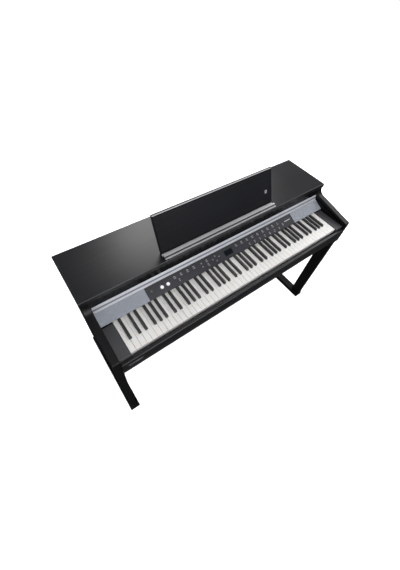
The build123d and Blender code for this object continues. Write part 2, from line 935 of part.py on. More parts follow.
def rest_leaf(x):
    x0, x1 = x - rest_knuckle_half, x + rest_knuckle_half
    y0 = -rest_hinge_back
    leaf = block(x0, x1, y0, y0 + rest_leaf_thickness, 0, rest_leaf_height)
    knuckle = rod_x(rest_knuckle_radius, x0, x1, 0, 0)
    bore = rod_x(rest_pin_radius + running_clearance, x0 - cut_through, x1 + cut_through, 0, 0)
    return rest_frame() * (leaf + knuckle - bore)


def music_rest_hinge_leaves():
    return Compound([rest_leaf(x).solids()[0] for x in rest_hinge_places])


def rest_hinge(x):
    """The fixed half: a plate on the top board, two lugs and the pin between them."""
    inner, outer = rest_lug_span
    fixed = block(x - rest_plate_half, x + rest_plate_half, rest_pivot_y - rest_plate_front,
                  rest_pivot_y + rest_plate_rear, top_surface, top_surface + rest_plate_thickness)
    fixed += rod_x(rest_pin_radius, x - outer, x + outer, rest_pivot_y, rest_pivot_z)
    for x0, x1 in ((x - outer, x - inner), (x + inner, x + outer)):
        lug = rod_x(rest_knuckle_radius, x0, x1, rest_pivot_y, rest_pivot_z)
        post = block(x0, x1, rest_pivot_y - rest_post_half, rest_pivot_y + rest_post_half,
                     top_surface, rest_pivot_z)
        fixed += lug + post
    return fixed


def music_rest_hinges():
    return Compound([rest_hinge(x).solids()[0] for x in rest_hinge_places])


def music_rest_ledge():
    half = rest_width / 2
    y1 = ledge_front + ledge_depth
    ledge = block(-half, half, ledge_front, y1, top_surface, top_surface + ledge_height)
    return softened(ledge, edge_round / 2)


# Assembly ---------------------------------------------------------------------------------------


def pair(make, name):
    left, right = both_sides(make)
    return {name + "_left": left, name + "_right": right}


def one_node(make):
    return Compound([piece.solids()[0] for piece in both_sides(make)])


def assembly():
    nodes = {
        "top_board": top_board(),
        "upper_front_panel": upper_front_panel(),
        "back_board": back_board(),
        "key_bed": key_bed(),
        "key_slip": key_slip(),
        "cheek_blocks": one_node(cheek_block),
        "back_screws": back_screws(),
        "glides": glides(),
        "lower_back_panel": lower_back_panel(),
        "pedal_box": pedal_box(),
        "pedal_axle": pedal_axle(),
        "pedal_springs": pedal_springs(),
        "control_panel": control_panel(),
        "speaker_grilles": one_node(speaker_grille),
        "display_window": display_window(),
        "power_button": power_button(),
        "circuit_boards": circuit_boards(),
        "key_cover": key_cover(),
        "key_cover_handle": key_cover_handle(),
        "music_rest": music_rest(),
        "music_rest_hinge_leaves": music_rest_hinge_leaves(),
        "music_rest_hinges": music_rest_hinges(),
        "music_rest_ledge": music_rest_ledge(),
        "key_chassis": key_chassis(),
        "key_pivot_rod": key_pivot_rod(),
        "key_stop_felt": key_stop_felt(),
        "woofers": woofers(),
        "tweeters": one_node(tweeter),
        "power_supply": power_supply(),
        "power_inlet": power_inlet(),
        "headphone_jack_box": headphone_jack_box(),
    }
    nodes |= pair(side_panel, "side_panel")
    nodes |= pair(front_leg, "front_leg")
    nodes |= pair(rear_leg, "rear_leg")
    nodes |= pair(foot_rail, "foot_rail")
    nodes |= {name: pedal(index) for index, name in enumerate(pedal_names)}
    nodes |= {name: knob(name) for name in knob_places}
    nodes |= {name: button_group(name) for name in button_rows}
    nodes |= {"keys_" + name: note_keys(note) for note, name in enumerate(note_names)}
    return nodes


def write_parts():
    os.makedirs("parts", exist_ok=True)
    centred = Pos(0, -footprint_middle, 0)
    nodes = assembly()
    for name, shape in nodes.items():
        export_step(centred * shape, os.path.join("parts", name + ".step"))
    print(len(nodes), "nodes")
    print("shift in y", -footprint_middle)
    print("rest pivot", rest_pivot_y - footprint_middle, rest_pivot_z)
    print("key pivot", pivot_y - footprint_middle, pivot_z, "dip", degrees(asin(key_dip / pivot_y)))
    print("pedal pivot", pedal_axle_y - footprint_middle, pedal_height, "dip", pedal_angle)
    print("panel normal", 0, -sin(panel_tilt), cos(panel_tilt))
    print("cover slide tilt", degrees(slide_tilt))


write_parts()
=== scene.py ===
import json
import math
import random

import bmesh
import bpy
from mathutils import Euler, Matrix, Vector

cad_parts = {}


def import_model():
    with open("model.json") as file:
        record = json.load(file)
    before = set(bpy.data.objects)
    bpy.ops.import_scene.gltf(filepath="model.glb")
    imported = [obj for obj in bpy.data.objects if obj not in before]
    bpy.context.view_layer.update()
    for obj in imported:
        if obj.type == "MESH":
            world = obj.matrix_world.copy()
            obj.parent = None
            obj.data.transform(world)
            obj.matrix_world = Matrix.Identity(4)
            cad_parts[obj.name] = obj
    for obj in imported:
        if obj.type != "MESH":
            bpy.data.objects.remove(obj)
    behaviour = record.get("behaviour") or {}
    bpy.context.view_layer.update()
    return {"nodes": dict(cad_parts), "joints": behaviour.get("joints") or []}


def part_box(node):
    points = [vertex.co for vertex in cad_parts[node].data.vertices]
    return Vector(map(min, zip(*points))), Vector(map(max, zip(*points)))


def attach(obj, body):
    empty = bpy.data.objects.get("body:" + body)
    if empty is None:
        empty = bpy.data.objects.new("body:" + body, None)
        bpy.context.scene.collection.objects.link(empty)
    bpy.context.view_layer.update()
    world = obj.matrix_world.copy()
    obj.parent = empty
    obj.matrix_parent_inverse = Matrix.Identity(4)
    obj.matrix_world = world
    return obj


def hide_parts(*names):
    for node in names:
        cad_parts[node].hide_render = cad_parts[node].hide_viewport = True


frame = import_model()
nodes = frame["nodes"]
MM = 0.001
random.seed(7)

# Measures -----------------------------------------------------------------------------------------

across = Vector((1, 0, 0))
button_nodes = ("function_buttons", "cursor_buttons", "sound_buttons", "rhythm_buttons")
knob_nodes = ("volume_knob", "brilliance_knob")
button_height = 1.6 * MM
button_mark_sink = 0.02 * MM
button_flanges = 3.0 * MM
narrow_button = 13.5 * MM
label_distance = 7.0 * MM
label_spacing = 2.2 * MM
print_lift = 0.02 * MM
print_thickness = 0.05 * MM
knob_radius = 7.5 * MM
knob_height = 5.5 * MM
knob_seat = 0.8 * MM
knob_shaft_radius = 3.0 * MM
knob_shaft_length = 8.0 * MM
knob_flutes = 30
handle_lean = 10.0 * MM
channel_depth = 1.5 * MM
channel_width = 8.8 * MM
rest_lean = math.radians(20)
rest_inlay_place = (283.0 * MM, 66.0 * MM)
trim_thickness = 0.4 * MM
corner_round = 0.3 * MM
board_edge_round = 0.8 * MM
small_edge_round = 0.35 * MM

joint_axis = {j["name"]: Vector(j["axis"]) for j in frame["joints"]}
joint_place = {j["name"]: Vector(j["pos_m"]) for j in frame["joints"] if "pos_m" in j}
panel_normal = joint_axis["volume_knob_turn"].normalized()
panel_up = panel_normal.cross(across).normalized()  # up the slope, towards the back


def frame_on(origin, up_axis, normal):
    """Matrix at origin whose columns are the x axis, up_axis and normal."""
    m = Matrix((across, up_axis, normal)).transposed().to_4x4()
    m.translation = origin
    return m


def islands(node):
    """The (centre, size) of each separate solid in a CAD node, from left to right."""
    mesh = nodes[node].data
    bm = bmesh.new()
    bm.from_mesh(mesh)
    bmesh.ops.remove_doubles(bm, verts=bm.verts, dist=1e-6)
    seen, found = set(), []
    for start in bm.verts:
        if start.index in seen:
            continue
        stack, members = [start], []
        seen.add(start.index)
        while stack:
            v = stack.pop()
            members.append(v.co.copy())
            for e in v.link_edges:
                other = e.other_vert(v)
                if other.index not in seen:
                    seen.add(other.index)
                    stack.append(other)
        low = Vector([min(p[i] for p in members) for i in range(3)])
        high = Vector([max(p[i] for p in members) for i in range(3)])
        found.append(((low + high) / 2, high - low))
    bm.free()
    return sorted(found, key=lambda f: f[0].x)


# Materials ----------------------------------------------------------------------------------------


class Shader:
    """A short way to write one material's nodes."""

    def __init__(self, name, **settings):
        self.material = bpy.data.materials.new(name)
        self.material.use_nodes = True
        self.tree = self.material.node_tree
        self.bsdf = self.tree.nodes["Principled BSDF"]
        self.set(**settings)
        self.place = self.tree.nodes.new("ShaderNodeTexCoord").outputs["Object"]

    def set(self, **settings):
        for key, value in settings.items():
            socket = self.bsdf.inputs[key.replace("_", " ")]
            socket.default_value = (*value, 1.0) if isinstance(value, tuple) else value

    def add(self, kind, inputs=None, **props):
        node = self.tree.nodes.new("ShaderNode" + kind)
        for key, value in props.items():
            setattr(node, key, value)
        for key, value in (inputs or {}).items():
            if isinstance(value, bpy.types.NodeSocket):
                self.tree.links.new(value, node.inputs[key])
            else:
                node.inputs[key].default_value = value
        return node

    def stretched(self, x, y, z):
        return self.add("Mapping", {"Vector": self.place, "Scale": (x, y, z)}).outputs[0]

    def noise(self, scale, detail=4.0, roughness=0.55, vector=None):
        node = self.add("TexNoise", {
            "Vector": vector or self.place, "Scale": scale, "Detail": detail, "Roughness": roughness,
        })
        return node.outputs["Fac"]

    def cells(self, scale):
        return self.add("TexVoronoi", {"Vector": self.place, "Scale": scale}).outputs["Distance"]

    def mapped(self, value, low, high, start=0.3, end=0.7):
        node = self.add("MapRange", {
            "Value": value, "From Min": start, "From Max": end, "To Min": low, "To Max": high,
        })
        return node.outputs["Result"]

    def between(self, value, first, second, start=0.3, end=0.7):
        node = self.add("ValToRGB", {"Fac": value})
        ramp = node.color_ramp
        ramp.elements[0].position, ramp.elements[1].position = start, end
        ramp.elements[0].color = (*first, 1)
        ramp.elements[1].color = (*second, 1)
        return node.outputs["Color"]

    def colour(self, socket):
        self.tree.links.new(socket, self.bsdf.inputs["Base Color"])

    def roughness(self, socket):
        self.tree.links.new(socket, self.bsdf.inputs["Roughness"])

    def bump(self, *heights):
        """Layers (height, strength, distance) as bumps, one on another."""
        normal = None
        for height, strength, distance in heights:
            inputs = {"Height": height, "Strength": strength, "Distance": distance}
            if normal:
                inputs["Normal"] = normal
            normal = self.add("Bump", inputs).outputs["Normal"]
        self.tree.links.new(normal, self.bsdf.inputs["Normal"])


def scaled(colour, factor):
    return tuple(min(1.0, c * factor) for c in colour)


def lacquered_wood(name, base, rough, coat, grain, along=(1.5, 60, 60), shine=0.5):
    """Black lacquer through which a fine grain shows, with faint wiping marks."""
    s = Shader(name, Specular_IOR_Level=shine, Coat_Weight=coat, Coat_Roughness=max(0.05, rough * 0.4))
    grain_noise = s.noise(1.0, 8.0, 0.62, s.stretched(*along))
    cloud = s.noise(2.2, 3.0)
    wiped = s.noise(5.0, 2.0, 0.5)
    s.colour(s.between(grain_noise, scaled(base, 0.72), scaled(base, 1.35), 0.32, 0.68))
    mixed = s.add("Math", {0: cloud, 1: wiped}, operation="ADD").outputs[0]
    s.roughness(s.mapped(mixed, rough * 0.94, rough * 1.08, 0.7, 1.3))
    s.bump((grain_noise, grain, 0.0003))
    return s.material


def grained_plastic(name, base, rough, grain_scale, depth, speck=1.25, shine=0.45):
    """Moulded plastic with a fine all-over texture and slight gloss changes."""
    s = Shader(name, Specular_IOR_Level=shine)
    fine = s.noise(grain_scale, 3.0, 0.6)
    cells = s.cells(grain_scale * 0.8)
    broad = s.noise(6.0, 4.0)
    s.colour(s.between(fine, scaled(base, 0.8), scaled(base, speck), 0.35, 0.65))
    s.roughness(s.mapped(broad, rough * 0.88, rough * 1.14))
    s.bump((fine, depth, 0.0003), (cells, depth * 0.6, 0.0002))
    return s.material


def key_plastic(name, base, rough, coat, warmth):
    """Ivory or ebony key tops: satin, faintly mottled, with very fine lengthwise polish marks."""
    s = Shader(name, Specular_IOR_Level=0.5, Coat_Weight=coat, Coat_Roughness=0.12)
    mottle = s.noise(38.0, 5.0, 0.6)
    bands = s.noise(1.0, 2.0, 0.5, s.stretched(43.0, 1.0, 1.0))
    both = s.add("Math", {0: mottle, 1: bands}, operation="ADD").outputs[0]
    s.colour(s.between(both, tuple(b * w for b, w in zip(base, warmth)), base, 0.8, 1.2))
    marks = s.noise(1.0, 3.0, 0.6, s.stretched(900.0, 30.0, 200.0))
    s.roughness(s.mapped(marks, rough * 0.85, rough * 1.25))
    s.bump((marks, 0.05, 0.0002), (s.noise(1500.0, 2.0), 0.03, 0.0001))
    return s.material


def brushed_metal(name, base, rough, metallic=1.0, along=(4.0, 900.0, 900.0), strength=0.12):
    """Metal with brush lines that run along one axis."""
    s = Shader(name, Metallic=metallic, Anisotropic=0.45)
    lines = s.noise(1.0, 5.0, 0.7, s.stretched(*along))
    broad = s.noise(5.0, 4.0)
    s.colour(s.between(lines, scaled(base, 0.86), scaled(base, 1.08), 0.3, 0.7))
    mixed = s.add("Math", {0: lines, 1: broad}, operation="ADD").outputs[0]
    s.roughness(s.mapped(mixed, rough * 0.8, rough * 1.2, 0.75, 1.25))
    s.bump((lines, strength, 0.0002))
    return s.material


def plated_metal(name, base, rough):
    """Bright plate with faint handling scratches."""
    s = Shader(name, Metallic=1.0)
    scratches = s.noise(1.0, 4.0, 0.7, s.stretched(60.0, 900.0, 120.0))
    haze = s.noise(25.0, 4.0)
    s.colour(s.between(haze, scaled(base, 0.93), base, 0.3, 0.7))
    s.roughness(s.mapped(haze, rough * 0.7, rough * 1.5))
    s.bump((scratches, 0.05, 0.0001))
    return s.material


def painted_metal(name, base, rough):
    """Powder coat with orange peel."""
    s = Shader(name, Specular_IOR_Level=0.5)
    peel = s.noise(420.0, 2.0)
    s.colour(s.between(s.noise(12.0, 5.0), scaled(base, 0.88), scaled(base, 1.12)))
    s.roughness(s.mapped(peel, rough * 0.9, rough * 1.1))
    s.bump((peel, 0.18, 0.0004))
    return s.material


def speaker_cloth(name, base):
    """Woven cloth: two sets of threads, each thread rounded, over a dark gap."""
    s = Shader(name, Specular_IOR_Level=0.25, Sheen_Weight=0.25, Sheen_Roughness=0.5)
    pitch = 1.1 * MM
    wave_scale = 2 * math.pi / pitch / 20.0

    def threads(direction):
        inputs = {
            "Vector": s.place, "Scale": wave_scale, "Distortion": 0.4,
            "Detail": 1.0, "Detail Scale": 2.0,
        }
        return s.add("TexWave", inputs, bands_direction=direction).outputs["Fac"]

    weave = s.add("Math", {0: threads("X"), 1: threads("Y")}, operation="MAXIMUM").outputs[0]
    slub = s.noise(140.0, 5.0, 0.7)
    mixed = s.add("Math", {0: weave, 1: slub}, operation="MULTIPLY").outputs[0]
    s.colour(s.between(mixed, scaled(base, 0.62), scaled(base, 1.22), 0.12, 0.6))
    s.roughness(s.mapped(slub, 0.7, 0.95))
    s.bump((weave, 0.5, 0.0003), (slub, 0.2, 0.0002))
    return s.material


def felt_cloth(name, base):
    s = Shader(name, Specular_IOR_Level=0.1, Sheen_Weight=0.6, Sheen_Roughness=0.6, Roughness=0.95)
    fibres = s.noise(700.0, 5.0, 0.8)
    s.colour(s.between(fibres, scaled(base, 0.6), scaled(base, 1.3)))
    s.bump((fibres, 0.6, 0.0006))
    return s.material


def circuit_board_resist(name, base):
    s = Shader(name, Specular_IOR_Level=0.5)
    traces = s.add("TexBrick", {
        "Vector": s.place, "Scale": 90.0, "Color1": (*scaled(base, 0.9), 1), "Color2": (*base, 1),
        "Mortar": (*scaled(base, 1.9), 1), "Mortar Size": 0.04,
    })
    s.colour(traces.outputs["Color"])
    s.roughness(s.mapped(s.noise(60.0), 0.28, 0.42))
    s.bump((traces.outputs["Fac"], 0.3, 0.0002))
    return s.material


def smoked_window(name):
    """A dark window with the faint cells of the display behind it."""
    s = Shader(name, Specular_IOR_Level=0.15, Coat_Weight=0.05, Coat_Roughness=0.05)
    cells = s.add("TexBrick", {
        "Vector": s.place, "Scale": 160.0, "Color1": (0.0035, 0.005, 0.008, 1),
        "Color2": (0.0045, 0.0065, 0.010, 1), "Mortar": (0.002, 0.003, 0.004, 1), "Mortar Size": 0.03,
    })
    s.colour(cells.outputs["Color"])
    s.roughness(s.mapped(s.noise(30.0), 0.06, 0.14))
    s.bump((s.noise(3.0), 0.02, 0.0005))
    return s.material


def lamp_dot(name, colour, strength):
    s = Shader(name, Roughness=0.3, Emission_Strength=strength)
    s.bsdf.inputs["Emission Color"].default_value = (*colour, 1)
    s.colour(s.between(s.noise(900.0), scaled(colour, 0.5), colour))
    return s.material


def printed_ink(name, colour):
    s = Shader(name, Specular_IOR_Level=0.3)
    worn = s.noise(900.0, 4.0, 0.7)
    s.colour(s.between(worn, scaled(colour, 0.7), colour, 0.25, 0.5))
    s.roughness(s.mapped(worn, 0.5, 0.7))
    return s.material


def studio_floor(name, glow):
    s = Shader(name, Specular_IOR_Level=0.1, Emission_Strength=glow)
    s.bsdf.inputs["Emission Color"].default_value = (1, 1, 1, 1)
    s.colour(s.between(s.noise(0.8, 4.0), (0.86, 0.86, 0.86), (0.90, 0.90, 0.90)))
    s.roughness(s.mapped(s.noise(30.0), 0.75, 0.9))
    return s.material


along_y = (60, 1.5, 60)
along_z = (60, 60, 1.5)
# Copies of one black case lacquer: the key slip's is lighter, and those of the side panels, legs and foot
# rails are darker with less shine, painting the light and shade that fall on these parts.
case_satin = lacquered_wood("case_satin", (0.0055, 0.0060, 0.0068), 0.30, 0.0, 0.02)
slip_lit_satin = lacquered_wood("slip_lit_satin", (0.009, 0.0092, 0.0098), 0.30, 0.0, 0.04, shine=0.4)
side_shaded_satin = lacquered_wood("side_shaded_satin", (0.0035, 0.0036, 0.0040), 0.36, 0.0, 0.04, along_y, 0.22)
case_dark = lacquered_wood("case_dark", (0.0050, 0.0051, 0.0054), 0.38, 0.0, 0.05, shine=0.3)
leg_shaded_satin = lacquered_wood("leg_shaded_satin", (0.0030, 0.0031, 0.0033), 0.40, 0.0, 0.05, along_z, 0.2)
rail_shaded_satin = lacquered_wood("rail_shaded_satin", (0.0028, 0.0029, 0.0031), 0.40, 0.0, 0.05, along_y, 0.12)
gloss_black = lacquered_wood("gloss_black", (0.0045, 0.0047, 0.0055), 0.16, 0.1, 0.01, shine=0.15)
rest_wood = lacquered_wood("rest_wood", (0.0036, 0.0040, 0.0058), 0.42, 0.0, 0.45, (1.2, 90, 90), 0.22)
back_fibreboard = grained_plastic("back_fibreboard", (0.020, 0.019, 0.018), 0.62, 500.0, 0.25)
cheek_texture = grained_plastic("cheek_texture", (0.034, 0.035, 0.037), 0.50, 700.0, 0.55, 1.5)
panel_satin = grained_plastic("panel_satin", (0.0090, 0.0098, 0.0145), 0.40, 1100.0, 0.10, shine=0.25)
button_plastic = grained_plastic("button_plastic", (0.045, 0.046, 0.052), 0.42, 1400.0, 0.15)
socket_plastic = grained_plastic("socket_plastic", (0.018, 0.018, 0.018), 0.45, 900.0, 0.2)
bezel_black = grained_plastic("bezel_black", (0.0035, 0.0036, 0.004), 0.45, 900.0, 0.1, shine=0.15)
rubber = grained_plastic("rubber", (0.020, 0.020, 0.020), 0.8, 1200.0, 0.3)
ivory = key_plastic("ivory", (0.70, 0.69, 0.675), 0.30, 0.2, (0.975, 0.965, 0.945))
ebony = key_plastic("ebony", (0.020, 0.0215, 0.0205), 0.38, 0.1, (0.75, 0.75, 0.75))
# The handle strip is only half metallic with a light base, so its diffuse part paints the bright
# reflection that the real aluminium shows.
handle_aluminium_painted_sheen = brushed_metal("handle_aluminium_painted_sheen", (0.70, 0.71, 0.76), 0.42, 0.55)
knob_aluminium = brushed_metal("knob_aluminium", (0.86, 0.86, 0.87), 0.34, 0.25, (700, 700, 700), 0.06)
zinc_steel = brushed_metal("zinc_steel", (0.50, 0.50, 0.52), 0.34, 1.0, (6, 500, 500), 0.08)
pedal_plate = plated_metal("pedal_plate", (0.80, 0.76, 0.68), 0.16)
black_paint = painted_metal("black_paint", (0.020, 0.020, 0.021), 0.42)
chassis_paint = painted_metal("chassis_paint", (0.28, 0.29, 0.30), 0.5)
driver_paint = painted_metal("driver_paint", (0.028, 0.028, 0.030), 0.55)
grille_cloth = speaker_cloth("grille_cloth", (0.27, 0.29, 0.33))
red_felt = felt_cloth("red_felt", (0.30, 0.03, 0.04))
# Black felt used only for the painted shadow line under the handle.
shadow_line_felt = felt_cloth("shadow_line_felt", (0.008, 0.008, 0.009))
green_board = circuit_board_resist("green_board", (0.03, 0.14, 0.06))
display_smoke = smoked_window("display_smoke")
light_ink = printed_ink("light_ink", (0.60, 0.61, 0.64))
red_lamp = lamp_dot("red_lamp", (0.8, 0.05, 0.03), 1.2)
dark_lamp = lamp_dot("dark_lamp", (0.12, 0.02, 0.02), 0.0)
silver_trim = brushed_metal("silver_trim", (0.42, 0.42, 0.44), 0.42, 0.3)
# Light metal for the key slip's plate, and also for the painted highlight strip on the rest's top edge.
plate_and_highlight_metal = brushed_metal("plate_and_highlight_metal", (0.34, 0.34, 0.35), 0.45, 0.2)
# Darker grey for the strip in the handle's channel: painted shade in the groove.
channel_shade_grey = brushed_metal("channel_shade_grey", (0.20, 0.21, 0.25), 0.45, 0.3)
# Light metal for the strips around the ledge, which paint the reflections on the top board and ledge top.
ledge_highlight_metal = brushed_metal("ledge_highlight_metal", (0.50, 0.50, 0.51), 0.45, 0.3)

node_materials = {
    case_satin: ["top_board", "music_rest_ledge"],
    slip_lit_satin: ["key_slip"],
    side_shaded_satin: ["side_panel_left", "side_panel_right"],
    case_dark: ["key_bed", "lower_back_panel", "pedal_box", "rear_leg_left", "rear_leg_right"],
    leg_shaded_satin: ["front_leg_left", "front_leg_right"],
    rail_shaded_satin: ["foot_rail_left", "foot_rail_right"],
    gloss_black: ["upper_front_panel", "key_cover"],
    rest_wood: ["music_rest"],
    back_fibreboard: ["back_board"],
    cheek_texture: ["cheek_blocks"],
    panel_satin: ["control_panel"],
    button_plastic: [*button_nodes, "power_button"],
    socket_plastic: ["power_inlet", "headphone_jack_box"],
    rubber: ["glides"],
    handle_aluminium_painted_sheen: ["key_cover_handle"],
    knob_aluminium: knob_nodes,
    zinc_steel: ["back_screws", "pedal_axle", "pedal_springs", "key_pivot_rod"],
    pedal_plate: ["pedal_left", "pedal_middle", "pedal_right"],
    black_paint: ["music_rest_hinges", "music_rest_hinge_leaves"],
    chassis_paint: ["key_chassis", "power_supply"],
    driver_paint: ["woofers", "tweeters"],
    grille_cloth: ["speaker_grilles"],
    red_felt: ["key_stop_felt"],
    green_board: ["circuit_boards"],
    display_smoke: ["display_window"],
    ebony: [n for n in nodes if n.startswith("keys_") and "sharp" in n],
    ivory: [n for n in nodes if n.startswith("keys_") and "sharp" not in n],
}


def paint(piece, material):
    piece.data.materials.clear()
    piece.data.materials.append(material)


for material, names in node_materials.items():
    for name in names:
        paint(nodes[name], material)


def soften(piece, width, segments=2):
    """A small round on every sharp edge, so that edges catch the light."""
    weld = piece.modifiers.new("weld", "WELD")
    weld.merge_threshold = 0.001 * MM
    bevel = piece.modifiers.new("edges", "BEVEL")
    bevel.width = width
    bevel.segments = segments
    bevel.limit_method = "ANGLE"
    bevel.angle_limit = math.radians(40)


# Pieces -------------------------------------------------------------------------------------------


def object_from(bm, name, material):
    """Makes a painted object from a bmesh, which is freed."""
    mesh = bpy.data.meshes.new(name)
    bm.to_mesh(mesh)
    bm.free()
    mesh.materials.append(material)
    obj = bpy.data.objects.new(name, mesh)
    bpy.context.scene.collection.objects.link(obj)
    return obj


def piece_from(bm, name, material, body):
    """Makes the piece, paints it and lets it ride on a body."""
    obj = object_from(bm, name, material)
    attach(obj, body)
    return obj


def add_bar(bm, matrix, width, depth, height, round_by=0.0):
    """A bar that stands on the matrix's xy plane, with its upright edges rounded."""
    corners = []
    r = min(round_by, width / 2 * 0.98, depth / 2 * 0.98)
    steps = 4 if r > 0 else 1
    for cx, cy, start in ((1, 1, 0), (-1, 1, 90), (-1, -1, 180), (1, -1, 270)):
        for k in range(steps):
            a = math.radians(start + (90 * k / (steps - 1) if steps > 1 else 45))
            x = cx * (width / 2 - r) + r * math.cos(a)
            y = cy * (depth / 2 - r) + r * math.sin(a)
            corners.append((x, y))
    low = [bm.verts.new(matrix @ Vector((x, y, 0))) for x, y in corners]
    high = [bm.verts.new(matrix @ Vector((x, y, height))) for x, y in corners]
    bm.faces.new(list(reversed(low)))
    bm.faces.new(high)
    count = len(corners)
    for i in range(count):
        bm.faces.new((low[i], low[(i + 1) % count], high[(i + 1) % count], high[i]))


def add_turned(bm, matrix, profile, sides, flute=None):
    """Turns an (r, z) profile round the matrix's z axis. flute(angle, r) may change the radius."""
    rings = []
    for r, z in profile:
        ring = []
        for k in range(sides):
            a = 2 * math.pi * k / sides
            radius = flute(a, r) if flute else r
            ring.append(bm.verts.new(matrix @ Vector((radius * math.cos(a), radius * math.sin(a), z))))
        rings.append(ring)
    for lower, upper in zip(rings, rings[1:]):
        for k in range(sides):
            bm.faces.new((lower[k], lower[(k + 1) % sides], upper[(k + 1) % sides], upper[k]))
    bm.faces.new(list(reversed(rings[0])))
    bm.faces.new(rings[-1])


def smooth(piece, angle=35):
    for polygon in piece.data.polygons:
        polygon.use_smooth = True
    sharp = math.radians(angle)
    bm = bmesh.new()
    bm.from_mesh(piece.data)
    for edge in bm.edges:
        if len(edge.link_faces) == 2 and edge.calc_face_angle(0) > sharp:
            edge.smooth = False
    bm.to_mesh(piece.data)
    bm.free()


def panel_matrix(point, lift=0.0):
    return frame_on(point + panel_normal * lift, panel_up, panel_normal)


def panel_surface_point(x, near):
    """The point of the panel's top face at x that is nearest to a point."""
    rear_edge = Vector((x, *panel_rear_edge))
    down = (rear_edge - near).dot(panel_up)
    return rear_edge - panel_up * down


def find_panel_rear_edge():
    """The (y, z) where the panel's slope ends: its highest points that lie furthest forward."""
    top_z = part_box("control_panel")[1].z
    same_height = 0.01 * MM
    top = [v.co for v in nodes["control_panel"].data.vertices if v.co.z > top_z - same_height]
    return min(co.y for co in top), top_z


panel_rear_edge = find_panel_rear_edge()


def knob(name):
    """A spun knob: fluted skirt, a dished top with a fine rim, and a dark pointer line."""
    seat = joint_place[name + "_turn"]
    seat = panel_surface_point(seat.x, seat) + panel_normal * knob_seat
    r, h = knob_radius, knob_height
    profile = [
        (knob_shaft_radius, -knob_shaft_length), (knob_shaft_radius, 0.0), (r, 0.0), (r, 0.6 * MM),
        (r * 0.985, 1.0 * MM), (r * 0.96, h - 0.9 * MM), (r * 0.94, h - 0.4 * MM),
        (r * 0.90, h - 0.1 * MM), (r * 0.86, h), (r * 0.81, h - 0.1 * MM), (r * 0.77, h - 0.3 * MM),
        (r * 0.40, h - 0.4 * MM), (0.2 * MM, h - 0.45 * MM),
    ]

    def flute(angle, radius):
        if radius < r * 0.87 or radius > r * 0.99:
            return radius
        return radius * (1 - 0.022 * (0.5 + 0.5 * math.cos(angle * knob_flutes)))

    bm = bmesh.new()
    add_turned(bm, panel_matrix(seat), profile, 6 * knob_flutes, flute)
    cap = piece_from(bm, name + "_cap", knob_aluminium, name)
    smooth(cap, 30)
    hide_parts(name)
    width, thick = 0.8 * MM, 0.2 * MM
    bm = bmesh.new()
    mark = panel_matrix(seat, h - 0.45 * MM) @ Matrix.Translation((0, r * 0.45, 0))
    add_bar(bm, mark, width, r * 0.55, thick, corner_round)
    piece_from(bm, name + "_pointer", socket_plastic, name)


def button_dashes(bm):
    """Two plain dashes of ink beside each button but the narrow cursor buttons, in place of lettering."""
    first_width, second_width = 1.1 * MM, 0.7 * MM
    for node in button_nodes:
        for centre, size in islands(node):
            if size.x < narrow_button and node == "cursor_buttons":
                continue
            side = -1 if node == "rhythm_buttons" else 1
            place = panel_surface_point(centre.x, centre) + panel_up * side * label_distance
            length = size.x * random.uniform(0.45, 0.62)
            add_bar(bm, panel_matrix(place, print_lift), length, first_width, print_thickness)
            place += panel_up * side * label_spacing
            length *= random.uniform(0.4, 0.8)
            add_bar(bm, panel_matrix(place, print_lift), length, second_width, print_thickness)


def knob_ticks(bm):
    """Eleven tick marks round each knob, over its 300 degrees of turn."""
    radius, width, length = 10.0 * MM, 0.5 * MM, 1.6 * MM
    for name in knob_nodes:
        seat = joint_place[name + "_turn"]
        seat = panel_surface_point(seat.x, seat)
        for degrees in range(150, -151, -30):
            turn = Matrix.Rotation(math.radians(degrees), 4, "Z")
            tick = panel_matrix(seat, print_lift) @ turn @ Matrix.Translation((0, radius, 0))
            add_bar(bm, tick, width, length, print_thickness)


def panel_prints():
    """The ink on the control panel."""
    bm = bmesh.new()
    button_dashes(bm)
    knob_ticks(bm)
    piece_from(bm, "panel_prints", light_ink, "case")


def button_marks():
    """A raised plain bar on each button's cap, riding with the button."""
    depth, thick = 0.9 * MM, 0.12 * MM
    for node in button_nodes:
        bm = bmesh.new()
        for centre, size in islands(node):
            point = panel_surface_point(centre.x, centre)
            matrix = panel_matrix(point, button_height - button_mark_sink)
            add_bar(bm, matrix, (size.x - button_flanges) / 2, depth, thick, corner_round)
        piece_from(bm, node + "_marks", light_ink, node)


def button_lamps():
    """A small lens beside each wide function and sound button. The first one is lit."""
    lit, unlit = bmesh.new(), bmesh.new()
    profile = [(0.9 * MM, 0), (0.85 * MM, 0.25 * MM), (0.6 * MM, 0.5 * MM), (0.1 * MM, 0.6 * MM)]
    from_button_end = 2.0 * MM
    first = True
    for node in ("function_buttons", "sound_buttons"):
        for centre, size in islands(node):
            if size.x < narrow_button:
                continue
            point = panel_surface_point(centre.x + size.x / 2 - from_button_end, centre)
            matrix = panel_matrix(point + panel_up * label_distance)
            add_turned(lit if first else unlit, matrix, profile, sides=16)
            first = False
    smooth(piece_from(lit, "lamp_lit", red_lamp, "case"))
    smooth(piece_from(unlit, "lamps_unlit", dark_lamp, "case"))


def display_bezel():
    """A raised rim round the display window."""
    low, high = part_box("display_window")
    centre = (low + high) / 2
    point = panel_surface_point(centre.x, centre)
    width = high.x - low.x
    depth = (high - low).yz.length
    rim, thick = 1.6 * MM, 0.5 * MM
    bm = bmesh.new()
    for sx, sy, w, d in (
        (0, 1, width + 2 * rim, rim), (0, -1, width + 2 * rim, rim),
        (1, 0, rim, depth), (-1, 0, rim, depth),
    ):
        shift = Matrix.Translation((sx * (width + rim) / 2, sy * (depth + rim) / 2, 0))
        add_bar(bm, panel_matrix(point) @ shift, w, d, thick)
    piece_from(bm, "display_bezel", bezel_black, "case")


